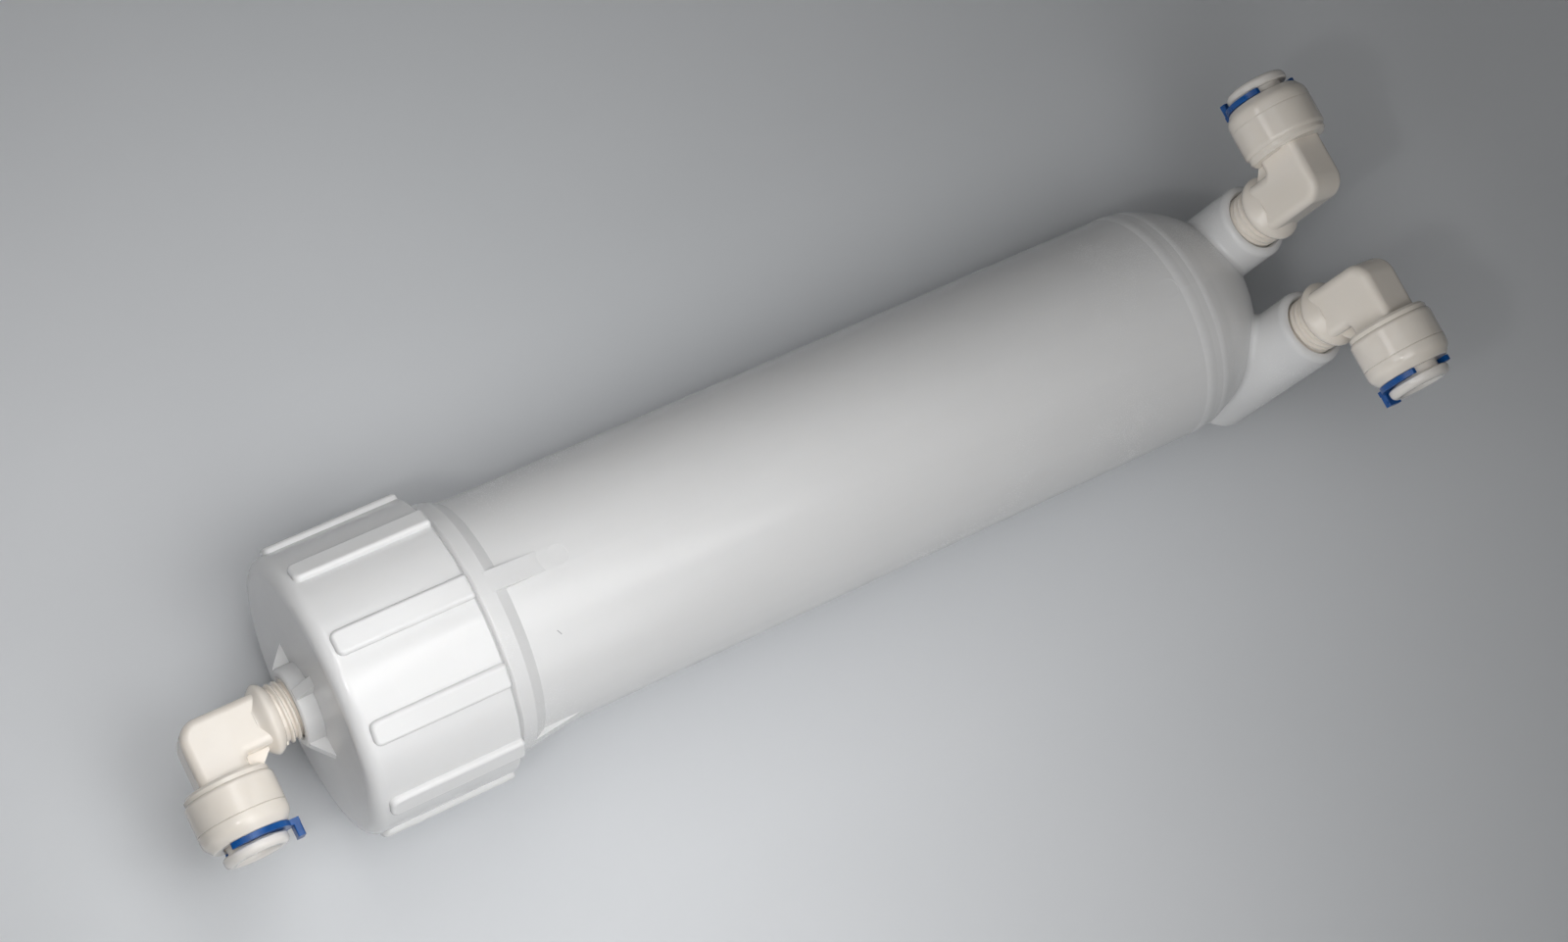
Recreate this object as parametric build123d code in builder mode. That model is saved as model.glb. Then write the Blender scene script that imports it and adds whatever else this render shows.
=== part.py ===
from build123d import *
import os
from math import sin, cos, tan, radians, pi, sqrt

# Membrane pressure vessel, millimetres.
# Row frame: +X along the vessel from the screw cap to the closed end, +Z the side the two end ports face,
# origin on the vessel's axis near the middle of the plain tube, where the holding clips grip it.

os.makedirs("parts", exist_ok=True)

# ---------------------------------------------------------------- driving dimensions
# tube
BODY_R = 42.0            # outside radius of the tube
BORE_R = 38.0            # bore that holds the 75 mm element
X_CREASE = 128.2         # end of the plain tube, start of the closed end
BAND = 7.4               # band between the two soft ridges at the closed end
BAND_R = 41.45
CREASE_RIDGE = 0.24      # how far the first soft ridge stands above the tube
DOME_DEPTH = 42.0        # crease to the outside of the closed end
DOME_EXP = 2.0           # fullness of the closed end (2 is an ellipse)
BORE_DEPTH = 36.0        # crease to the inside of the closed end
X_FLANGE_REAR = -140.0
FLANGE_T = 7.2
FLANGE_R = 44.3          # at its rear edge
FLANGE_CREST = 44.9      # at its front edge
FLANGE_BAND = 5.1        # width of the flat rim between the two edges
FLANGE_CONE = 4.1        # length of the cone from the flange down to the tube
NECK_R = 42.0            # core of the threaded neck
X_NECK = -193.4          # front lip of the neck
GUSSET_L = 19.5
GUSSET_T = 7.4
TURN = -5.0              # turn of the gussets, ribs and fins from the ports' side, degrees
MARK_R = 3.6             # ejector marks on the tube
MARK_DEPTH = 0.2

# cap thread (trapezoid ridge, right-handed), the same ridge outside the neck and inside the cap
PITCH = 6.0
RIDGE_H = 2.2
RIDGE_BASE = 1.75        # half width at the root
RIDGE_CREST = 1.0
X_NECK_THREAD = -160.0   # end of the neck's thread towards the flange
NECK_TURNS = 5
X_CAP_THREAD = -151.0
CAP_TURNS = 5

# screw cap
X_CAP_FACE = -200.4
X_CAP_REAR = -147.6
CAP_R = 48.9             # between the ribs
CAP_IN_R = 45.0
CAP_EDGE = 5.2           # rounded corner of the face
CAP_WALL = 6.0
RIB_N = 10
RIB_R = 50.9
RIB_W = 8.6
X_RIB = -195.4           # front ends of the ribs
BOSS_R = 13.8
BOSS_H = 6.3
FIN_L = 7.2
FIN_T = 3.8
INNER_BOSS_R = 15.5
INNER_BOSS_L = 8.0
SPIGOT_R = 37.7
SPIGOT_IN_R = 31.5
X_SPIGOT = -176.1
CAP_RING_X = -182.3      # middle of the cap O-ring
CAP_RING_MIN = 1.45
CAP_RING_MAJ = 36.45
CAP_GROOVE_R = 34.92

# end ports: two parallel barrels across the closed end
PORT_TILT = 70.8         # from +X towards +Z
PORT_BORE_R = 10.55      # clears the crest of a half-inch pipe thread
PORT_BORE_L = 22.0
BARREL_R = 14.0
BARREL_L = 60.0
MOUTH_X = X_CREASE + 44.7
MOUTH_Z = 33.6
PERMEATE_Y = 13.4
CONCENTRATE_Y = -29.8
LIP = 2.5
X_CROSS = MOUTH_X - MOUTH_Z / tan(radians(PORT_TILT))   # where a barrel crosses the height of the vessel's axis

# element
TUBE_R = 8.5
TUBE_IN_R = 6.4
X_TUBE_0 = -160.0
X_TUBE_1 = X_CREASE + 11.0
ROLL_R = 36.2
WRAP_R = 36.8
X_ROLL_0 = -150.0
X_ROLL_1 = X_CREASE - 15.0
DISC_T = 6.0
DISC_R = 37.2
SOCKET_R = 12.5
SOCKET_BORE_R = 8.7
X_SOCKET = X_CREASE - 7.0
X_SOCKET_END = X_CREASE + 12.0
STEM_RINGS = (X_CREASE - 0.5, X_CREASE + 5.0)

# elbows, in their own frame: z out of the port, x along the leg, origin at the port mouth
STEM_R = 8.75            # root of the male thread at its tip
STEM_TAPER = 1.79        # pipe thread taper, degrees a side
STEM_PITCH = 2.35
STEM_RIDGE = 1.05
STEM_TURNS = 10
STEM_IN = 19.0           # thread inside the port
STEM_OUT = 6.0
STEM_BORE = 6.7
COLLAR_R = 12.2
CORNER_Z = 29.0          # leg axis above the port mouth
ARM = 17.6               # arm width
ARM_D = 17.0
ARM_ROUND = 7.5          # outer corner, seen from the side
ARM_EDGE = 3.0           # rounding of the long edges
CHAMBER_0 = 13.0
CHAMBER_R = 15.3
SEAM_X = 26.0
FACE_X = 33.0
TUBE_BORE = 6.5          # takes a 12.7 mm tube
COLLET_R = 8.6
COLLET_0 = 23.0
FLANGE_0 = 35.6
COLLET_1 = 39.2
FLANGE_CR = 11.2
CLIP_T = 1.9
CLIP_R = 13.2
CLIP_IN = 8.9


def around_x(deg):
    """rotation about the vessel's axis"""
    return Location((0, 0, 0), (deg, 0, 0))


def ridge(pitch, turns, radius, base, crest, height, taper=0.0):
    """right-handed helical ridge about +Z, starting at z = 0; a negative height stands inwards"""
    sink = 0.25 if height > 0 else -0.25
    with BuildPart() as one:
        with BuildLine() as path:
            Helix(pitch=pitch, height=pitch * turns, radius=radius, cone_angle=taper)
        with BuildSketch(Plane(origin=(radius, 0, 0), x_dir=(1, 0, 0), z_dir=(0, 1, 0))):
            with BuildLine():
                Polyline((-sink, -base), (-sink, base), (height, crest), (height, -crest), close=True)
            make_face()
        sweep(path=path.line, is_frenet=True)
    return one.part


# plane whose local x is the vessel's axis and local y the radius (towards +Z)
SECTION = Plane(origin=(0, 0, 0), x_dir=(1, 0, 0), z_dir=(0, -1, 0))


def dome(depth, radius, x0, n=14, start=0.0):
    """points of the closed end's meridian, from the tube to the axis"""
    pts = []
    for i in range(n + 1):
        t = pi / 2 * i / n
        a = depth * sin(t) ** (2 / DOME_EXP)
        r = radius * cos(t) ** (2 / DOME_EXP) if i < n else 0.0
        if a >= start:
            pts.append((x0 + a, r))
    return pts


# the two halves of the cap thread, half a pitch apart so that they run in each other
neck_ridge = ridge(PITCH, NECK_TURNS, NECK_R, RIDGE_BASE, RIDGE_CREST, RIDGE_H)
cap_ridge = ridge(PITCH, CAP_TURNS, CAP_IN_R, RIDGE_BASE, RIDGE_CREST, -RIDGE_H)
neck_thread_seat = Plane(origin=(X_NECK_THREAD, 0, 0), x_dir=(0, 0, 1), z_dir=(-1, 0, 0))
cap_thread_seat = Plane(origin=(X_CAP_THREAD, 0, 0), x_dir=(0, 0, 1), z_dir=(-1, 0, 0))

# ================================================================ vessel body
port_axis = Vector(cos(radians(PORT_TILT)), 0, sin(radians(PORT_TILT)))
permeate_port = Plane(origin=(MOUTH_X, PERMEATE_Y, MOUTH_Z), x_dir=(0, 1, 0), z_dir=port_axis)
concentrate_port = Plane(origin=(MOUTH_X, CONCENTRATE_Y, MOUTH_Z), x_dir=(0, -1, 0), z_dir=port_axis)
feed_port = Plane(origin=(X_CAP_FACE - BOSS_H, 0, 0), x_dir=(0, -1, 0), z_dir=(-1, 0, 0))

# one port barrel: rounded lip at the mouth, rounded closed bottom
with BuildPart() as barrel:
    with BuildSketch(Plane.XZ):
        with BuildLine():
            l1 = Line((0, 0), (BARREL_R - LIP, 0))
            l2 = TangentArc(l1 @ 1, (BARREL_R, -LIP), tangent=(1, 0))
            l3 = Line(l2 @ 1, (BARREL_R, -BARREL_L + 5))
            l4 = TangentArc(l3 @ 1, (BARREL_R - 5, -BARREL_L), tangent=(0, -1))
            l5 = Line(l4 @ 1, (0, -BARREL_L))
            l6 = Line(l5 @ 1, (0, 0))
        make_face()
    revolve(axis=Axis.Z)

# threaded bore and the passage under it, for one barrel
with BuildPart() as barrel_bore:
    with BuildSketch(Plane.XZ):
        with BuildLine():
            o1 = Polyline((0, 0.5), (PORT_BORE_R + 1.0, 0.5), (PORT_BORE_R + 1.0, 0))
            o2 = RadiusArc(o1 @ 1, (PORT_BORE_R, -1.7), -2.4)
            o3 = Polyline(o2 @ 1, (PORT_BORE_R, -PORT_BORE_L), (8.0, -PORT_BORE_L - 2.5), (5.0, -PORT_BORE_L - 2.5),
                          (5.0, -39.0), (0, -42.0), (0, 0.5))
        make_face()
    revolve(axis=Axis.Z)

with BuildPart() as vessel_body:
    # outside
    with BuildSketch(SECTION):
        with BuildLine():
            d = dome(DOME_DEPTH, BODY_R, X_CREASE, start=BAND + 4)
            p1 = Polyline((d[-1][0], 0), (X_NECK, 0), (X_NECK, NECK_R - 1.2), (X_NECK + 1.2, NECK_R),
                          (X_FLANGE_REAR - FLANGE_T, NECK_R), (X_FLANGE_REAR - FLANGE_T, 43.4))
            p2 = FilletPolyline(p1 @ 1, (X_FLANGE_REAR - FLANGE_BAND, FLANGE_CREST), (X_FLANGE_REAR, FLANGE_R),
                                (X_FLANGE_REAR + FLANGE_CONE, BODY_R), radius=0.35)
            p4 = Line(p2 @ 1, (X_CREASE, BODY_R))
            p5 = Spline([p4 @ 1, (X_CREASE + 1.3, BODY_R + CREASE_RIDGE), (X_CREASE + 2.8, BODY_R + CREASE_RIDGE - 0.04),
                         (X_CREASE + 4.6, BODY_R - 0.14)])
            p6 = Line(p5 @ 1, (X_CREASE + BAND, BAND_R))
            p7 = Spline([p6 @ 1, (X_CREASE + BAND + 1.2, BAND_R + 0.02), (X_CREASE + BAND + 2.4, BAND_R - 0.26)])
            p8 = Spline([p7 @ 1] + d, tangents=[(1, -0.28), (0, -1)])
        make_face()
    revolve(axis=Axis.X)
    # thread on the neck
    with Locations(neck_thread_seat.location):
        add(neck_ridge)
    # four gussets behind the flange
    with BuildSketch(SECTION):
        with BuildLine():
            Polyline((X_FLANGE_REAR - 1, BODY_R - 1.5), (X_FLANGE_REAR - 1, FLANGE_R + 0.1),
                     (X_FLANGE_REAR + 0.6, FLANGE_R - 0.1), (X_FLANGE_REAR + GUSSET_L, BODY_R - 0.25),
                     (X_FLANGE_REAR + GUSSET_L, BODY_R - 1.5), close=True)
        make_face()
    one_gusset = extrude(amount=GUSSET_T / 2, both=True, mode=Mode.PRIVATE)
    with Locations(*[around_x(90 * i + TURN) for i in range(4)]):
        add(one_gusset)
    # two round ejector marks in line with the gusset on the ports' side
    for x_mark, turn in ((X_FLANGE_REAR + 24.3, TURN + 0.5), (X_CREASE - 3.7, TURN + 2.5)):
        up = Vector(0, -sin(radians(turn)), cos(radians(turn)))
        with BuildSketch(Plane(origin=up * (BODY_R - MARK_DEPTH) + Vector(x_mark, 0, 0), x_dir=(1, 0, 0), z_dir=up)):
            Circle(MARK_R)
        extrude(amount=2.0, mode=Mode.SUBTRACT)
    # bore with its own domed end
    with BuildSketch(SECTION):
        with BuildLine():
            c = dome(BORE_DEPTH, BORE_R, X_CREASE, n=12, start=1.0)
            q1 = Polyline((c[-1][0], 0), (X_NECK - 1, 0), (X_NECK - 1, BORE_R + 1.5), (X_NECK, BORE_R + 1.5),
                          (X_NECK + 3.0, BORE_R), (X_CREASE, BORE_R))
            q2 = Spline([q1 @ 1] + c, tangents=[(1, 0), (0, -1)])
        make_face()
    revolve(axis=Axis.X, mode=Mode.SUBTRACT)
    # port barrels across the closed end
    with Locations(permeate_port.location, concentrate_port.location):
        add(barrel.part)
    # socket for the element's permeate stub
    with BuildSketch(Plane.YZ.offset(X_SOCKET)):
        Circle(SOCKET_R)
    extrude(amount=X_CREASE + 38 - X_SOCKET)
    # threaded bores of the two ports
    with Locations(permeate_port.location, concentrate_port.location):
        add(barrel_bore.part, mode=Mode.SUBTRACT)
    # socket bore, its lead-in, and the passage on to the permeate port
    with BuildSketch(SECTION):
        with BuildLine():
            Polyline((X_SOCKET - 1, 0), (X_SOCKET - 1, SOCKET_BORE_R + 1.5), (X_SOCKET, SOCKET_BORE_R + 1.5),
                     (X_SOCKET + 1.5, SOCKET_BORE_R), (X_SOCKET_END, SOCKET_BORE_R), (X_SOCKET_END, 5.0),
                     (X_CROSS + 1.0, 5.0), (X_CROSS + 1.0, 0), close=True)
        make_face()
    revolve(axis=Axis.X, mode=Mode.SUBTRACT)
    with BuildSketch(Plane(origin=(X_CROSS, 0, 0), x_dir=(1, 0, 0), z_dir=(0, 1, 0))):
        Circle(4.2)
    extrude(amount=PERMEATE_Y, mode=Mode.SUBTRACT)
    # passage from the space round the element to the concentrate port
    with BuildSketch(Plane.YZ.offset(X_CREASE + 8)):
        with Locations((CONCENTRATE_Y + 3.5, 0)):
            Circle(4.2)
    extrude(amount=X_CROSS - X_CREASE - 8, mode=Mode.SUBTRACT)
    # soft blends where the two barrels meet the closed end
    for side in (1, -1):
        seam = [e for e in vessel_body.edges().filter_by(GeomType.BSPLINE)
                if e.length > 50 and e.center().Z > 18 and e.center().Y * side > 0 and e.center().X > X_CREASE + 20]
        fillet(seam, 1.5)
vessel_body.part.label = "vessel_body"
export_step(vessel_body.part, "parts/vessel_body.step")

# ================================================================ screw cap
with BuildPart() as rib:
    with BuildSketch(Plane.XY.offset(CAP_R - 1.6)) as rib_plan:
        with Locations(((X_RIB + X_CAP_REAR) / 2, 0)):
            Rectangle(X_CAP_REAR - X_RIB, RIB_W)
        fillet(rib_plan.vertices().group_by(Axis.X)[0], 2.5)
        fillet(rib_plan.vertices().group_by(Axis.X)[-1], 1.2)
    extrude(amount=RIB_R - CAP_R + 1.6)
    fillet(rib.faces().sort_by(Axis.Z)[-1].edges(), 1.35)

with BuildPart() as cap:
    with BuildSketch(SECTION):
        with BuildLine():
            k1 = Polyline((X_CAP_FACE, 0), (X_CAP_FACE, CAP_R - CAP_EDGE))
            k2 = TangentArc(k1 @ 1, (X_CAP_FACE + CAP_EDGE, CAP_R), tangent=(0, 1))
            k3 = Polyline(k2 @ 1, (X_CAP_REAR - 0.8, CAP_R), (X_CAP_REAR, CAP_R - 0.8), (X_CAP_REAR, CAP_IN_R + 0.8),
                          (X_CAP_REAR - 0.8, CAP_IN_R), (X_CAP_FACE + CAP_WALL + 3, CAP_IN_R),
                          (X_CAP_FACE + CAP_WALL, CAP_IN_R - 3), (X_CAP_FACE + CAP_WALL, SPIGOT_R),
                          (CAP_RING_X - 1.75, SPIGOT_R), (CAP_RING_X - 1.75, CAP_GROOVE_R),
                          (CAP_RING_X + 1.75, CAP_GROOVE_R), (CAP_RING_X + 1.75, SPIGOT_R),
                          (X_SPIGOT - 1.2, SPIGOT_R), (X_SPIGOT, SPIGOT_R - 1.2), (X_SPIGOT, SPIGOT_IN_R),
                          (X_CAP_FACE + CAP_WALL, SPIGOT_IN_R), (X_CAP_FACE + CAP_WALL, INNER_BOSS_R + 1),
                          (X_CAP_FACE + CAP_WALL + 1, INNER_BOSS_R),
                          (X_CAP_FACE + CAP_WALL + INNER_BOSS_L, INNER_BOSS_R),
                          (X_CAP_FACE + CAP_WALL + INNER_BOSS_L, 0), (X_CAP_FACE, 0))
        make_face()
    revolve(axis=Axis.X)
    with Locations(*[around_x(360.0 / RIB_N * i + TURN) for i in range(RIB_N)]):
        add(rib.part)
    # thread inside the skirt
    with Locations(cap_thread_seat.location):
        add(cap_ridge)
    # boss with a rounded lip
    with BuildSketch(SECTION):
        with BuildLine():
            b1 = Polyline((X_CAP_FACE + 1, 0), (X_CAP_FACE + 1, BOSS_R), (X_CAP_FACE - BOSS_H + 1.2, BOSS_R))
            b2 = TangentArc(b1 @ 1, (X_CAP_FACE - BOSS_H, BOSS_R - 1.2), tangent=(-1, 0))
            b3 = Polyline(b2 @ 1, (X_CAP_FACE - BOSS_H, 0), (X_CAP_FACE + 1, 0))
        make_face()
    revolve(axis=Axis.X)
    # four triangular fins
    with BuildSketch(SECTION):
        with BuildLine():
            Polyline((X_CAP_FACE + 1, BOSS_R - 1.5), (X_CAP_FACE - BOSS_H + 0.4, BOSS_R - 1.5),
                     (X_CAP_FACE - BOSS_H + 0.4, BOSS_R + 0.3), (X_CAP_FACE, BOSS_R + FIN_L),
                     (X_CAP_FACE + 1, BOSS_R + FIN_L), close=True)
        make_face()
    one_fin = extrude(amount=FIN_T / 2, both=True, mode=Mode.PRIVATE)
    with Locations(*[around_x(90 * i + TURN) for i in range(4)]):
        add(one_fin)
    # threaded hole through the boss
    with BuildSketch(SECTION):
        with BuildLine():
            Polyline((X_CAP_FACE - BOSS_H - 1, 0), (X_CAP_FACE - BOSS_H - 1, PORT_BORE_R + 0.8),
                     (X_CAP_FACE - BOSS_H, PORT_BORE_R + 0.8), (X_CAP_FACE - BOSS_H + 0.8, PORT_BORE_R),
                     (X_CAP_FACE + CAP_WALL + INNER_BOSS_L + 1, PORT_BORE_R),
                     (X_CAP_FACE + CAP_WALL + INNER_BOSS_L + 1, 0), close=True)
        make_face()
    revolve(axis=Axis.X, mode=Mode.SUBTRACT)
cap.part.label = "cap"
export_step(cap.part, "parts/cap.step")

with BuildPart() as cap_o_ring:
    with BuildSketch(SECTION):
        with Locations((CAP_RING_X, CAP_RING_MAJ)):
            Circle(CAP_RING_MIN)
    revolve(axis=Axis.X)
cap_o_ring.part.label = "cap_o_ring"
export_step(cap_o_ring.part, "parts/cap_o_ring.step")

# ================================================================ wound element
with BuildPart() as permeate_tube:
    with BuildSketch(Plane.YZ.offset(X_TUBE_0)):
        Circle(TUBE_R)
        Circle(TUBE_IN_R, mode=Mode.SUBTRACT)
    extrude(amount=X_TUBE_1 - X_TUBE_0)
    # two grooves for the stem O-rings
    with BuildSketch(SECTION):
        for xg in STEM_RINGS:
            with BuildLine():
                Polyline((xg - 1.1, 7.3), (xg + 1.1, 7.3), (xg + 1.1, 9.0), (xg - 1.1, 9.0), close=True)
            make_face()
    revolve(axis=Axis.X, mode=Mode.SUBTRACT)
    # collecting holes along the wound length
    for i in range(7):
        for side in (0, 90):
            with BuildSketch(Plane(origin=(X_ROLL_0 + 25 + 34 * i + side / 5, 0, 0), x_dir=(1, 0, 0),
                                   z_dir=(0, -sin(radians(side)), cos(radians(side))))):
                Circle(1.6)
            extrude(amount=12, both=True, mode=Mode.SUBTRACT)
permeate_tube.part.label = "permeate_tube"
export_step(permeate_tube.part, "parts/permeate_tube.step")

with BuildPart() as tube_plug:
    with BuildSketch(Plane.YZ.offset(X_TUBE_0 - 1.5)):
        Circle(TUBE_R - 0.2)
    extrude(amount=1.5)
    with BuildSketch(Plane.YZ.offset(X_TUBE_0)):
        Circle(TUBE_IN_R)
    extrude(amount=10)
tube_plug.part.label = "tube_plug"
export_step(tube_plug.part, "parts/tube_plug.step")

with BuildPart() as membrane_roll:
    with BuildSketch(Plane.YZ.offset(X_ROLL_0)):
        Circle(ROLL_R)
        Circle(TUBE_R, mode=Mode.SUBTRACT)
    extrude(amount=X_ROLL_1 - X_ROLL_0)
membrane_roll.part.label = "membrane_roll"
export_step(membrane_roll.part, "parts/membrane_roll.step")

with BuildPart() as outer_wrap:
    with BuildSketch(Plane.YZ.offset(X_ROLL_0)):
        Circle(WRAP_R)
        Circle(ROLL_R, mode=Mode.SUBTRACT)
    extrude(amount=X_ROLL_1 - X_ROLL_0)
outer_wrap.part.label = "outer_wrap"
export_step(outer_wrap.part, "parts/outer_wrap.step")

with BuildPart() as front_end_cap:
    with BuildSketch(Plane.YZ.offset(X_ROLL_0 - DISC_T)):
        Circle(DISC_R)
        Circle(30.0, mode=Mode.SUBTRACT)
        Circle(13.0)
        with PolarLocations(0, 8):
            with Locations((21.5, 0)):
                Rectangle(19.0, 3.2)
        Circle(TUBE_R, mode=Mode.SUBTRACT)
    extrude(amount=DISC_T)
    # groove for the brine seal
    with BuildSketch(SECTION):
        with BuildLine():
            Polyline((X_ROLL_0 - 4.8, 34.0), (X_ROLL_0 - 1.2, 34.0), (X_ROLL_0 - 1.2, 40.0), (X_ROLL_0 - 4.8, 40.0),
                     close=True)
        make_face()
    revolve(axis=Axis.X, mode=Mode.SUBTRACT)
front_end_cap.part.label = "front_end_cap"
export_step(front_end_cap.part, "parts/front_end_cap.step")

with BuildPart() as rear_end_cap:
    with BuildSketch(Plane.YZ.offset(X_ROLL_1)):
        Circle(DISC_R)
        Circle(30.0, mode=Mode.SUBTRACT)
        Circle(13.0)
        with PolarLocations(0, 8):
            with Locations((21.5, 0)):
                Rectangle(19.0, 3.2)
        Circle(TUBE_R, mode=Mode.SUBTRACT)
    extrude(amount=DISC_T)
rear_end_cap.part.label = "rear_end_cap"
export_step(rear_end_cap.part, "parts/rear_end_cap.step")

# U-cup seal: heel in the groove, thin lip opening towards the feed
with BuildPart() as brine_seal:
    with BuildSketch(SECTION):
        with BuildLine():
            Polyline((X_ROLL_0 - 1.2, 34.0), (X_ROLL_0 - 1.2, 37.3), (X_ROLL_0 - 1.9, 37.6), (X_ROLL_0 - 8.0, 37.95),
                     (X_ROLL_0 - 8.0, 37.35), (X_ROLL_0 - 4.0, 37.25), (X_ROLL_0 - 4.0, 37.2), (X_ROLL_0 - 4.8, 37.2),
                     (X_ROLL_0 - 4.8, 34.0), close=True)
        make_face()
    revolve(axis=Axis.X)
brine_seal.part.label = "brine_seal"
export_step(brine_seal.part, "parts/brine_seal.step")

with BuildPart() as stem_o_rings:
    with BuildSketch(SECTION):
        with Locations(*[(xg, 8.0) for xg in STEM_RINGS]):
            Circle(0.68)
    revolve(axis=Axis.X)
stem_o_rings.part.label = "stem_o_rings"
export_step(stem_o_rings.part, "parts/stem_o_rings.step")

# ================================================================ push-in elbow, built once in its own frame
STEM_TOP = STEM_R + (STEM_IN + STEM_OUT - 0.6) * tan(radians(STEM_TAPER))
LEG = Plane(origin=(0, 0, CORNER_Z), x_dir=(1, 0, 0), z_dir=(0, -1, 0))     # local x along the leg, local y up

# the two square arms as one flat-sided corner with soft edges
with BuildPart() as corner_shape:
    with BuildSketch(LEG) as corner_plan:
        with BuildLine():
            Polyline((-ARM / 2, STEM_OUT + 3 - CORNER_Z), (-ARM / 2, ARM / 2), (CHAMBER_0 + 1, ARM / 2),
                     (CHAMBER_0 + 1, -ARM / 2), (ARM / 2, -ARM / 2), (ARM / 2, STEM_OUT + 3 - CORNER_Z), close=True)
        make_face()
        fillet(corner_plan.vertices().sort_by_distance((-ARM / 2, 0, CORNER_Z + ARM / 2))[0], ARM_ROUND)
        fillet(corner_plan.vertices().sort_by_distance((ARM / 2, 0, CORNER_Z - ARM / 2))[0], 1.5)
    extrude(amount=ARM_D / 2, both=True)
    fillet([e for e in corner_shape.edges() if abs(abs(e.center().Y) - ARM_D / 2) < 0.01
            and e.center().X < CHAMBER_0 + 0.9 and e.center().Z > STEM_OUT + 3.1], ARM_EDGE)

with BuildPart() as elbow_shape:
    # threaded stem and the swollen collar above it
    with BuildSketch(Plane.XZ):
        with BuildLine():
            e1 = Polyline((0, -STEM_IN), (STEM_R - 0.02, -STEM_IN), (STEM_TOP, STEM_OUT - 0.6))
            e2 = Spline([(STEM_TOP, STEM_OUT - 0.6), (COLLAR_R - 0.5, STEM_OUT + 1.2), (COLLAR_R, STEM_OUT + 2.6),
                         (COLLAR_R - 0.9, STEM_OUT + 4.2), (9.0, STEM_OUT + 7.2)])
            e3 = Polyline((9.0, STEM_OUT + 7.2), (0, STEM_OUT + 7.2), (0, -STEM_IN))
        make_face()
    revolve(axis=Axis.Z)
    # pipe thread, its first turn cut to a cone
    with Locations((0, 0, -STEM_IN + 1.0)):
        add(ridge(STEM_PITCH, STEM_TURNS, STEM_R + 0.02, 0.95, 0.3, STEM_RIDGE, STEM_TAPER))
    with BuildSketch(Plane.XZ):
        with BuildLine():
            Polyline((STEM_R - 0.7, -STEM_IN), (STEM_R - 0.7, -STEM_IN - 3), (STEM_R + 4, -STEM_IN - 3),
                     (STEM_R + 4, -STEM_IN + 4.0), close=True)
        make_face()
    revolve(axis=Axis.Z, mode=Mode.SUBTRACT)
    add(corner_shape.part)
    # thin web in the inner corner
    with BuildSketch(Plane.XZ):
        with BuildLine():
            Polyline((6, 12.0), (6, 24), (15, 24), (15, 17.2), (9.8, 12.0), close=True)
        make_face()
    extrude(amount=3.2, both=True)
    # chamber with its stepped rear rim
    with BuildSketch(LEG):
        with BuildLine():
            g1 = Polyline((CHAMBER_0, 0), (CHAMBER_0, 13.6), (CHAMBER_0 + 1.0, 14.5), (CHAMBER_0 + 2.4, 14.5),
                          (CHAMBER_0 + 2.4, 14.3))
            g2 = TangentArc(g1 @ 1, (CHAMBER_0 + 3.9, CHAMBER_R), tangent=(0.45, 1))
            g3 = Polyline(g2 @ 1, (SEAM_X, CHAMBER_R), (SEAM_X, 0), (CHAMBER_0, 0))
        make_face()
    revolve(axis=Axis((0, 0, CORNER_Z), (1, 0, 0)))
    # waterway: up the stem, round the corner, tube seat, seal groove, collet space
    with BuildSketch(Plane.XY.offset(-STEM_IN)):
        Circle(STEM_BORE)
    extrude(amount=STEM_IN + CORNER_Z, mode=Mode.SUBTRACT)
    with BuildSketch(LEG):
        with BuildLine():
            Polyline((-5.5, 0), (-3.0, 5.5), (CHAMBER_0 + 1.5, 5.5), (CHAMBER_0 + 1.5, TUBE_BORE + 0.05),
                     (16.8, TUBE_BORE + 0.05), (16.8, 9.35), (19.8, 9.35), (19.8, TUBE_BORE + 0.05),
                     (20.9, TUBE_BORE + 0.05), (20.9, 11.6), (SEAM_X + 1, 11.6), (SEAM_X + 1, 0), close=True)
        make_face()
    revolve(axis=Axis((0, 0, CORNER_Z), (1, 0, 0)), mode=Mode.SUBTRACT)

with BuildPart() as retainer_shape:
    with BuildSketch(LEG):
        with BuildLine():
            h1 = Polyline((SEAM_X, 11.6), (SEAM_X, CHAMBER_R - 0.35), (SEAM_X + 0.35, CHAMBER_R), (SEAM_X + 1.6, CHAMBER_R))
            h2 = Spline([h1 @ 1, (SEAM_X + 4.6, CHAMBER_R - 0.7), (FACE_X - 0.7, 13.3), (FACE_X, 12.5)],
                        tangents=[(1, 0), (0.2, -1)])
            h3 = Polyline(h2 @ 1, (FACE_X, 9.4), (FACE_X - 0.5, 8.95), (FACE_X - 3.0, 8.95), (FACE_X - 5.5, 11.6),
                          (SEAM_X, 11.6))
        make_face()
    revolve(axis=Axis((0, 0, CORNER_Z), (1, 0, 0)))

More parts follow.
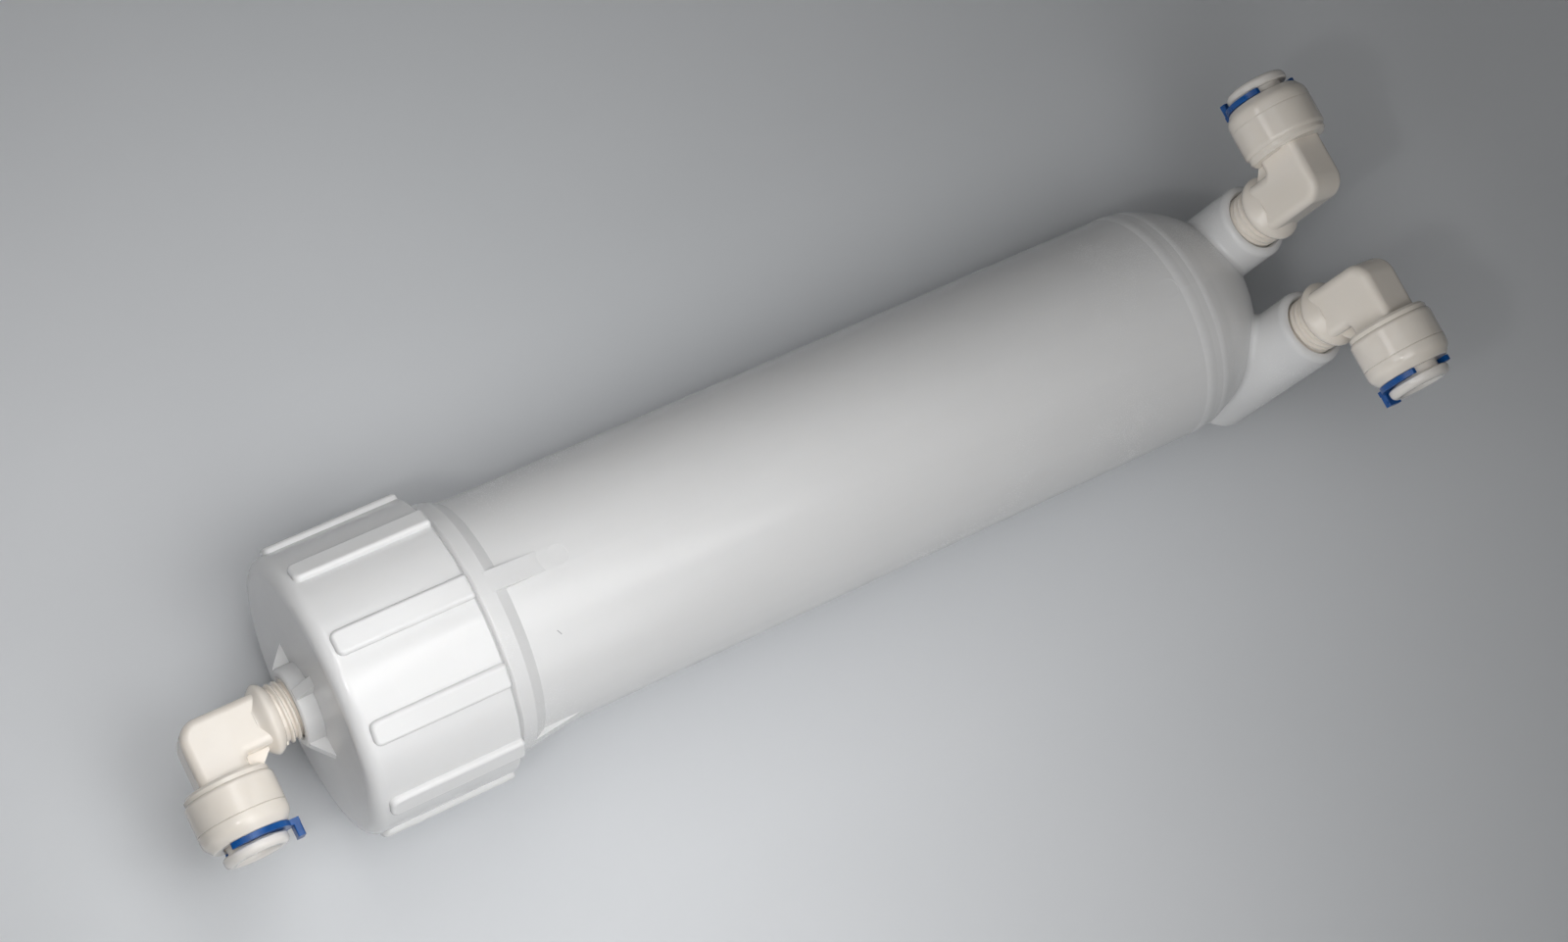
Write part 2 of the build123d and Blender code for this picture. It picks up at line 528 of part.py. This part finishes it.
with BuildPart() as collet_shape:
    with BuildSketch(LEG):
        with BuildLine():
            m1 = Polyline((COLLET_0, TUBE_BORE), (COLLET_0, 9.6), (COLLET_0 + 1.2, 10.0), (COLLET_0 + 4.2, COLLET_R),
                          (FLANGE_0, COLLET_R), (FLANGE_0, FLANGE_CR - 0.5), (FLANGE_0 + 0.5, FLANGE_CR),
                          (COLLET_1 - 2.0, FLANGE_CR))
            m2 = TangentArc(m1 @ 1, (COLLET_1, FLANGE_CR - 2.0), tangent=(1, 0))
            m3 = Line(m2 @ 1, (COLLET_1, TUBE_BORE + 2.2))
            m4 = TangentArc(m3 @ 1, (COLLET_1 - 2.6, TUBE_BORE), tangent=(0, -1))
            m5 = Line(m4 @ 1, (COLLET_0, TUBE_BORE))
        make_face()
    revolve(axis=Axis((0, 0, CORNER_Z), (1, 0, 0)))
    # slots between the springy fingers
    for ang in (45, 135):
        with BuildSketch(Plane(origin=(COLLET_0 - 1, 0, CORNER_Z), x_dir=(0, cos(radians(ang)), sin(radians(ang))),
                               z_dir=(1, 0, 0))):
            Rectangle(30, 1.3)
        extrude(amount=7.5, mode=Mode.SUBTRACT)

with BuildPart() as grip_shape:
    with BuildSketch(Plane.YZ.offset(20.95)):
        with Locations((0, CORNER_Z)):
            Circle(11.5)
            Circle(7.6, mode=Mode.SUBTRACT)
            with PolarLocations(7.6, 12):
                Rectangle(2.0, 1.8)
            Circle(TUBE_BORE + 0.1, mode=Mode.SUBTRACT)
    extrude(amount=0.6)

with BuildPart() as seal_shape:
    with BuildSketch(LEG):
        with Locations((18.3, 7.93)):
            Circle(1.38)
    revolve(axis=Axis((0, 0, CORNER_Z), (1, 0, 0)))

# clip: horseshoe between the chamber's face and the collet's flange, tab on the port's side
with BuildPart() as clip_shape:
    with BuildSketch(Plane.YZ.offset(FACE_X + 0.15)):
        with Locations((0, CORNER_Z)):
            Circle(CLIP_R)
            Circle(CLIP_IN, mode=Mode.SUBTRACT)
        with Locations((0, CORNER_Z + 10)):
            Rectangle(2 * CLIP_IN, 20, mode=Mode.SUBTRACT)
        with Locations((0, CORNER_Z + 8.2 + 10)):
            Rectangle(40, 20, mode=Mode.SUBTRACT)
        with Locations((0, CORNER_Z - CLIP_R - 0.6)):
            Rectangle(6.4, 4.4)
    extrude(amount=CLIP_T)
    with BuildSketch(Plane.YZ.offset(FACE_X + 0.15)):
        with Locations((0, CORNER_Z - CLIP_R - 1.5)):
            RectangleRounded(6.4, 2.6, 0.6)
    extrude(amount=6.2)

pieces = [("elbow_body", elbow_shape), ("retaining_cap", retainer_shape), ("collet", collet_shape),
          ("grip_ring", grip_shape), ("tube_o_ring", seal_shape), ("clip", clip_shape)]

for tag, port in (("feed", feed_port), ("permeate", permeate_port), ("concentrate", concentrate_port)):
    for piece, shape in pieces:
        with BuildPart() as placed:
            with Locations(port.location):
                add(shape.part)
        placed.part.label = tag + "_" + piece
        export_step(placed.part, "parts/" + tag + "_" + piece + ".step")
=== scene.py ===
import math
import random

import bpy
import numpy as np
from mathutils import Matrix, Vector


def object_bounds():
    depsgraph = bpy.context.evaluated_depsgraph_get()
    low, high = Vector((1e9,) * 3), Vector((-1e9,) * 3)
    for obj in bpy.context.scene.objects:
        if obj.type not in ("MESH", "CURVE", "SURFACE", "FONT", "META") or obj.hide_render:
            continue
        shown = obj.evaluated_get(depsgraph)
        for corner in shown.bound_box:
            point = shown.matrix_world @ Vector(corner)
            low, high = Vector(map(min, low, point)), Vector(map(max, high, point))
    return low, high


random.seed(7)
np.random.seed(7)

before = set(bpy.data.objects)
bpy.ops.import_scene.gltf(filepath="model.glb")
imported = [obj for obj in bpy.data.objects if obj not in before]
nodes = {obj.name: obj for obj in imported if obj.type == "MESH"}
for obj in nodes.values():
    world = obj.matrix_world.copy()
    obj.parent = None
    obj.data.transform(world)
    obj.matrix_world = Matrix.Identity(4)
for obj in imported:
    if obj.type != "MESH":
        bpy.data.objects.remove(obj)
cad_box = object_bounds()
scene = bpy.context.scene
TAGS = ("feed", "permeate", "concentrate")


# ------------------------------------------------------------------ materials
def srgb(r, g, b):
    def lin(c):
        c /= 255.0
        return c / 12.92 if c <= 0.04045 else ((c + 0.055) / 1.055) ** 2.4
    return (lin(r), lin(g), lin(b), 1.0)


class Graph:
    """A material's node tree with short calls."""

    def __init__(self, name):
        self.mat = bpy.data.materials.new(name)
        self.mat.use_nodes = True
        self.t = self.mat.node_tree
        self.t.nodes.clear()
        self.out = self.t.nodes.new("ShaderNodeOutputMaterial")
        self.bsdf = self.t.nodes.new("ShaderNodeBsdfPrincipled")
        self.t.links.new(self.bsdf.outputs[0], self.out.inputs[0])
        self.tc = self.t.nodes.new("ShaderNodeTexCoord")

    def n(self, kind, **props):
        node = self.t.nodes.new("ShaderNode" + kind)
        for k, v in props.items():
            setattr(node, k, v)
        return node

    def link(self, a, b):
        self.t.links.new(a, b)

    def mapping(self, scale=(1, 1, 1), rot=(0, 0, 0), loc=(0, 0, 0)):
        m = self.n("Mapping")
        m.inputs["Scale"].default_value = scale
        m.inputs["Rotation"].default_value = rot
        m.inputs["Location"].default_value = loc
        self.link(self.tc.outputs["Object"], m.inputs[0])
        return m.outputs[0]

    def noise(self, vec, scale, detail=4.0, rough=0.5, dist=0.0):
        n = self.n("TexNoise")
        n.inputs["Scale"].default_value = scale
        n.inputs["Detail"].default_value = detail
        n.inputs["Roughness"].default_value = rough
        n.inputs["Distortion"].default_value = dist
        self.link(vec, n.inputs["Vector"])
        return n.outputs["Fac"]

    def ramp(self, fac, stops):
        r = self.n("ValToRGB")
        el = r.color_ramp.elements
        while len(el) < len(stops):
            el.new(0.5)
        for e, (p, c) in zip(el, stops):
            e.position = p
            e.color = c if len(c) == 4 else (c[0], c[1], c[2], 1.0)
        self.link(fac, r.inputs[0])
        return r.outputs[0]

    def maprange(self, fac, a, b, c, d):
        m = self.n("MapRange")
        for k, v in zip(("From Min", "From Max", "To Min", "To Max"), (a, b, c, d)):
            m.inputs[k].default_value = v
        self.link(fac, m.inputs["Value"])
        return m.outputs[0]

    def math(self, op, a, b=None, clamp=False):
        m = self.n("Math", operation=op, use_clamp=clamp)
        for i, v in enumerate((a, b)):
            if v is None:
                continue
            if isinstance(v, (int, float)):
                m.inputs[i].default_value = v
            else:
                self.link(v, m.inputs[i])
        return m.outputs[0]

    def mix(self, fac, a, b, blend="MIX"):
        m = self.n("Mix", data_type="RGBA", blend_type=blend)
        ins = [s for s in m.inputs if s.type == "RGBA"]
        outs = [s for s in m.outputs if s.type == "RGBA"]
        if isinstance(fac, (int, float)):
            m.inputs[0].default_value = fac
        else:
            self.link(fac, m.inputs[0])
        for s, v in zip(ins, (a, b)):
            if isinstance(v, tuple):
                s.default_value = v
            else:
                self.link(v, s)
        return outs[0]

    def bump(self, height, distance, strength=1.0, normal=None):
        b = self.n("Bump")
        b.inputs["Strength"].default_value = strength
        b.inputs["Distance"].default_value = distance
        self.link(height, b.inputs["Height"])
        if normal is not None:
            self.link(normal, b.inputs["Normal"])
        return b.outputs[0]

    def put(self, name, value):
        s = self.bsdf.inputs[name]
        if isinstance(value, (int, float, tuple)):
            s.default_value = value
        else:
            self.link(value, s)


def on_skin(g):
    """coordinates on the vessel's skin: (x, arc length round the axis, radius)"""
    sep = g.n("SeparateXYZ")
    g.link(g.mapping(), sep.inputs[0])
    y, z = sep.outputs[1], sep.outputs[2]
    turn = g.math("ARCTAN2", g.math("MULTIPLY", y, -1.0), z)
    radius = g.math("SQRT", g.math("ADD", g.math("MULTIPLY", y, y), g.math("MULTIPLY", z, z)))
    return sep.outputs[0], g.math("MULTIPLY", turn, R), radius


def stroke(g, skin, p, q, width, soft):
    """mask of a short mark from p to q, both (x in mm, degrees round the axis)"""
    def at(v):
        return (v[0] / 1000.0, math.radians(v[1]) * R, 0.0)
    p, q = at(p), at(q)
    d = (q[0] - p[0], q[1] - p[1], 0.0)
    here = g.n("CombineXYZ")
    g.link(skin[0], here.inputs[0])
    g.link(skin[1], here.inputs[1])
    off = g.n("VectorMath", operation="SUBTRACT")
    g.link(here.outputs[0], off.inputs[0])
    off.inputs[1].default_value = p
    dot = g.n("VectorMath", operation="DOT_PRODUCT")
    g.link(off.outputs[0], dot.inputs[0])
    dot.inputs[1].default_value = d
    along = g.math("DIVIDE", dot.outputs["Value"], d[0] ** 2 + d[1] ** 2, clamp=True)
    step = g.n("VectorMath", operation="SCALE")
    step.inputs[0].default_value = d
    g.link(along, step.inputs["Scale"])
    rest = g.n("VectorMath", operation="SUBTRACT")
    g.link(off.outputs[0], rest.inputs[0])
    g.link(step.outputs[0], rest.inputs[1])
    size = g.n("VectorMath", operation="LENGTH")
    g.link(rest.outputs[0], size.inputs[0])
    near = g.maprange(size.outputs["Value"], width, width + soft, 1.0, 0.0)
    outside = g.maprange(skin[2], R - 0.001, R - 0.0006, 0.0, 1.0)
    return g.math("MULTIPLY", near, outside)


def moulded_white(name, base, dark, rough=(0.26, 0.34), flow_axis=0, sss=0.0, marks=(), depth_m=0.0015):
    """Injection-moulded white plastic: faint clouding, faint lengthwise flow, a fine satin skin and slightly uneven
    gloss; marks are (points, half width, softness, tone, bump depth)."""
    g = Graph(name)
    obj = g.mapping()
    stretch = [1.0, 1.0, 1.0]
    stretch[flow_axis] = 0.10
    flow = g.noise(g.mapping(scale=tuple(stretch)), 75.0, 3.0, 0.45, 0.3)
    cloud = g.noise(obj, 16.0, 5.0, 0.55, 0.4)
    satin = g.noise(obj, 2600.0, 2.0, 0.5)
    tone = g.math("ADD", g.math("MULTIPLY", flow, 0.45), g.math("MULTIPLY", cloud, 0.55))
    col = g.ramp(tone, [(0.36, dark), (0.62, base)])
    # a few tiny dark grains in the moulding
    grains = g.n("TexVoronoi", feature="F1")
    grains.inputs["Scale"].default_value = 60.0
    g.link(obj, grains.inputs["Vector"])
    dot = g.maprange(grains.outputs["Distance"], 0.010, 0.020, 1.0, 0.0)
    keep = g.maprange(g.noise(obj, 37.0, 1.0), 0.62, 0.68, 0.0, 0.30)
    col = g.mix(g.math("MULTIPLY", dot, keep), col, (0.30, 0.29, 0.28, 1.0))
    gloss = g.maprange(g.math("ADD", g.math("MULTIPLY", cloud, 0.6), g.math("MULTIPLY", satin, 0.4)),
                       0.35, 0.65, rough[0], rough[1])
    height = None
    if marks:
        skin = on_skin(g)
        for pts, width, soft, shade, depth in marks:
            mask = None
            for p, q in zip(pts[:-1], pts[1:]):
                one = stroke(g, skin, p, q, width, soft)
                mask = one if mask is None else g.math("MAXIMUM", mask, one)
            tone_to = tuple(min(1.0, c * shade) for c in base[:3]) + (1.0,)
            col = g.mix(mask, col, tone_to)
            if depth:
                part = g.math("MULTIPLY", mask, depth)
                height = part if height is None else g.math("ADD", height, part)
    g.put("Base Color", col)
    g.put("Roughness", gloss)
    g.put("IOR", 1.49)
    if sss:
        g.put("Subsurface Weight", sss)
        g.put("Subsurface Radius", (1.0, 0.97, 0.93))
        g.put("Subsurface Scale", depth_m)
    nrm = g.bump(flow, 0.00006, 0.15)
    nrm = g.bump(satin, 0.000006, 0.3, nrm)
    if height is not None:
        nrm = g.bump(height, 0.001, 1.0, nrm)
    g.put("Normal", nrm)
    return g.mat


R = 0.042
M = {}
# a short scratch beside the flange's gusset
SCRATCH = ([(-125.7, 26.2), (-125.2, 27.4), (-124.8, 28.4)], 0.00006, 0.00018, 0.50, -0.01)
# a faint wavy flow line on the cap's skirt
FLOW_LINE = ([(-183.0, 2.0), (-181.2, 7.5), (-183.4, 12.5), (-182.6, 18.0), (-181.8, 23.0)], 0.00005, 0.0004, 1.0, 0.003)
M["vessel"] = moulded_white("vessel_white", srgb(229, 229, 229), srgb(225, 225, 225), (0.20, 0.28), 0, 0.35, (SCRATCH,), 0.002)
M["cap"] = moulded_white("cap_white", srgb(232, 232, 232), srgb(229, 229, 229), (0.13, 0.19), 0, 0.35, (FLOW_LINE,), 0.002)
M["elbow"] = moulded_white("elbow_white", srgb(243, 236, 227), srgb(239, 231, 220), (0.10, 0.16), 2, 0.30)
M["collet"] = moulded_white("collet_white", srgb(240, 236, 231), srgb(236, 231, 225), (0.10, 0.16), 1, 0.20)


def blue_clip():
    g = Graph("clip_blue")
    v = g.mapping()
    c = g.noise(v, 220.0, 4.0, 0.5, 0.3)
    g.put("Base Color", g.ramp(c, [(0.35, srgb(3, 72, 140)), (0.65, srgb(8, 90, 166))]))
    g.put("Roughness", g.maprange(g.noise(v, 500.0, 3.0), 0.35, 0.65, 0.26, 0.40))
    g.put("IOR", 1.5)
    g.put("Coat Weight", 0.06)
    g.put("Normal", g.bump(g.noise(v, 1400.0, 2.0), 0.00003, 0.3))
    return g.mat


def rubber():
    g = Graph("black_rubber")
    v = g.mapping()
    g.put("Base Color", g.ramp(g.noise(v, 160.0, 5.0), [(0.3, srgb(20, 20, 21)), (0.7, srgb(36, 36, 37))]))
    g.put("Roughness", g.maprange(g.noise(v, 320.0, 3.0), 0.35, 0.65, 0.42, 0.62))
    g.put("Normal", g.bump(g.noise(v, 1800.0, 2.0), 0.00002, 0.4))
    return g.mat


def steel():
    g = Graph("steel_teeth")
    v = g.mapping(scale=(1, 1, 6))
    g.put("Base Color", g.ramp(g.noise(v, 300.0, 4.0), [(0.3, srgb(172, 173, 175)), (0.7, srgb(205, 206, 208))]))
    g.put("Metallic", 1.0)
    g.put("Roughness", g.maprange(g.noise(v, 700.0, 3.0), 0.3, 0.7, 0.22, 0.40))
    g.put("Normal", g.bump(g.noise(v, 900.0, 2.0), 0.00002, 0.4))
    return g.mat


def membrane():
    g = Graph("membrane_roll")
    # wound layers show on the ends as fine rings
    sep = g.n("SeparateXYZ")
    g.link(g.mapping(), sep.inputs[0])
    yy = g.math("MULTIPLY", sep.outputs[1], sep.outputs[1])
    zz = g.math("MULTIPLY", sep.outputs[2], sep.outputs[2])
    r = g.math("SQRT", g.math("ADD", yy, zz))
    band = g.math("SINE", g.math("MULTIPLY", r, 2 * math.pi / 0.0009))
    fib = g.noise(g.mapping(scale=(0.2, 1, 1)), 900.0, 5.0, 0.6)
    col = g.ramp(g.maprange(band, -1, 1, 0, 1), [(0.2, srgb(196, 192, 176)), (0.8, srgb(229, 225, 212))])
    g.put("Base Color", g.mix(g.maprange(fib, 0.35, 0.65, 0.0, 0.5), col, srgb(214, 210, 198)))
    g.put("Roughness", g.maprange(fib, 0.3, 0.7, 0.55, 0.8))
    g.put("Normal", g.bump(band, 0.0001, 0.5))
    return g.mat


def wrap():
    g = Graph("wrap_tape")
    sep = g.n("SeparateXYZ")
    g.link(g.mapping(), sep.inputs[0])
    ang = g.math("ARCTAN2", sep.outputs[2], sep.outputs[1])
    turn = g.math("ADD", g.math("DIVIDE", sep.outputs[0], 0.045), g.math("DIVIDE", ang, 2 * math.pi))
    edge = g.math("FRACT", turn)
    lap = g.maprange(edge, 0.0, 0.06, 1.0, 0.0)
    cloud = g.noise(g.mapping(), 60.0, 4.0)
    col = g.mix(lap, g.ramp(cloud, [(0.3, srgb(206, 214, 222)), (0.7, srgb(222, 228, 233))]), srgb(178, 188, 200))
    g.put("Base Color", col)
    g.put("Roughness", g.maprange(cloud, 0.3, 0.7, 0.18, 0.34))
    g.put("Normal", g.bump(edge, 0.0001, 0.6))
    return g.mat


M["clip"] = blue_clip()
M["rubber"] = rubber()
M["steel"] = steel()
M["membrane"] = membrane()
M["wrap"] = wrap()
M["disc"] = moulded_white("disc_plastic", srgb(219, 219, 213), srgb(210, 210, 204), (0.3, 0.42))
M["tube"] = moulded_white("tube_plastic", srgb(222, 222, 214), srgb(212, 212, 205), (0.24, 0.36))

LOOK = {
    "vessel_body": "vessel", "cap": "cap", "cap_o_ring": "rubber", "permeate_tube": "tube", "tube_plug": "tube",
    "membrane_roll": "membrane", "outer_wrap": "wrap", "front_end_cap": "disc", "rear_end_cap": "disc",
    "brine_seal": "rubber", "stem_o_rings": "rubber",
}
for tag in TAGS:
    LOOK.update({tag + "_elbow_body": "elbow", tag + "_retaining_cap": "elbow", tag + "_collet": "collet",
                 tag + "_grip_ring": "steel", tag + "_tube_o_ring": "rubber", tag + "_clip": "clip"})

for name, obj in nodes.items():
    obj.data.materials.clear()
    obj.data.materials.append(M[LOOK[name]])

# ------------------------------------------------------------------ floor
lo, hi = cad_box
floor_z = lo[2] - 0.0005
mesh = bpy.data.meshes.new("floor")
S = 6.0
mesh.from_pydata([(-S, -S, floor_z), (S, -S, floor_z), (S, S, floor_z), (-S, S, floor_z)], [], [(0, 1, 2, 3)])
floor = bpy.data.objects.new("floor", mesh)
scene.collection.objects.link(floor)
g = Graph("floor_pale")
fv = g.mapping()
g.put("Base Color", g.ramp(g.noise(fv, 3.0, 4.0), [(0.3, srgb(224, 227, 230)), (0.7, srgb(230, 232, 235))]))
g.put("Roughness", g.maprange(g.noise(fv, 120.0, 4.0), 0.3, 0.7, 0.72, 0.85))
g.put("Normal", g.bump(g.noise(fv, 600.0, 3.0), 0.00005, 0.2))
mesh.materials.append(g.mat)

# ------------------------------------------------------------------ camera, from the photo's fitted view
AZ, EL, ROLL = -0.419, 0.358, 0.169
P0 = np.array([-2.436, 1.22, 24.429])
FOCAL_PX = 3173.0
u = np.array([math.cos(EL) * math.cos(AZ), math.cos(EL) * math.sin(AZ), math.sin(EL)])
back = np.array([0.0, 0.0, -1.0])
nn = back - u * float(back @ u)
nn /= np.linalg.norm(nn)
e2 = np.cross(nn, u)
vz = math.cos(ROLL) * nn + math.sin(ROLL) * e2
vy = math.cos(ROLL) * e2 - math.sin(ROLL) * nn
basis = np.array([u, vy, vz])                       # row i: the vessel's axis i in camera coordinates
cam_at = np.array([-0.140, 0.0, 0.0]) - basis @ P0 * R
right, up, behind = basis[:, 0], -basis[:, 1], -basis[:, 2]
cam_matrix = Matrix(((right[0], up[0], behind[0], cam_at[0]),
                     (right[1], up[1], behind[1], cam_at[1]),
                     (right[2], up[2], behind[2], cam_at[2]),
                     (0, 0, 0, 1)))
cam_data = bpy.data.cameras.new("camera")
cam = bpy.data.objects.new("camera", cam_data)
scene.collection.objects.link(cam)
cam.matrix_world = cam_matrix
cam_data.sensor_fit = "HORIZONTAL"
cam_data.sensor_width = 36.0
cam_data.lens = FOCAL_PX / 1600.0 * 36.0
cam_data.clip_start = 0.05
cam_data.clip_end = 50.0
scene.camera = cam

# ------------------------------------------------------------------ light


def view_dir(x, y, z):
    """a direction given as seen in the picture (x right, y down, z away) in the row frame"""
    v = basis @ np.array([x, y, z], float)
    return v / np.linalg.norm(v)


def area(name, target, direction, distance, size, power, colour=(1, 1, 1), size_y=None):
    data = bpy.data.lights.new(name, "AREA")
    data.shape = "RECTANGLE" if size_y else "SQUARE"
    data.size = size
    if size_y:
        data.size_y = size_y
    data.energy = power
    data.color = colour
    ob = bpy.data.objects.new(name, data)
    scene.collection.objects.link(ob)
    pos = Vector(target) + Vector(direction) * distance
    ob.location = pos
    ob.rotation_euler = (Vector(target) - pos).to_track_quat("-Z", "Y").to_euler()
    return ob


BESIDE_CAP = (-0.17, 0.0, 0.0)


def seen(theta, phi):
    """direction at theta degrees from the line of sight, phi degrees round it in the picture (0 right, 90 down)"""
    t, p = math.radians(theta), math.radians(phi)
    return view_dir(math.sin(t) * math.cos(p), math.sin(t) * math.sin(p), -math.cos(t))


def placed(name, position, size, power):
    """a small near light at a point of the row frame, facing the cap"""
    v = Vector(position) - Vector(BESIDE_CAP)
    return area(name, BESIDE_CAP, v.normalized(), v.length, size, power)


# one broad soft light in front with a small one beside it for the highlights on rims and corners, and a near group
# about the cap, so that the light falls off towards the far end
lamps = [
    area("front", (0.0, 0, 0), seen(0, 0), 2.8, 2.0, 8.2),
    area("spark", (0.0, 0, 0), seen(12, 150), 1.1, 0.05, 0.62),
    area("side", BESIDE_CAP, seen(35, 0), 0.55, 0.3, 0.66),
    placed("near", (-0.215, -0.055, 0.31), 0.2, 0.29),
    placed("low", (-0.10, -0.34, 0.21), 0.2, 0.165),
    placed("far_side", (-0.17, 0.10, 0.28), 0.15, 0.18),
    placed("low_front", (-0.20, -0.24, 0.19), 0.15, 0.11),
]
# a ring of floor lights, pointing down and away from the object, keeps the surroundings pale from every side
for i in range(8):
    turn = math.radians(45.0 * i)
    spot = (3.0 * math.cos(turn), 3.0 * math.sin(turn), floor_z)
    lamp = area("ring_%d" % i, spot, (0.0, 0.0, 1.0), 3.2, 0.5, 10.0)
    lamp.data.spread = math.radians(80)
    lamps.append(lamp)
for lamp in lamps:
    lamp.visible_camera = False

world = bpy.data.worlds.new("world")
scene.world = world
world.use_nodes = True
bg = world.node_tree.nodes["Background"]
bg.inputs[0].default_value = (1.0, 1.0, 1.0, 1.0)
bg.inputs[1].default_value = 0.02
scene.view_settings.view_transform = "Standard"
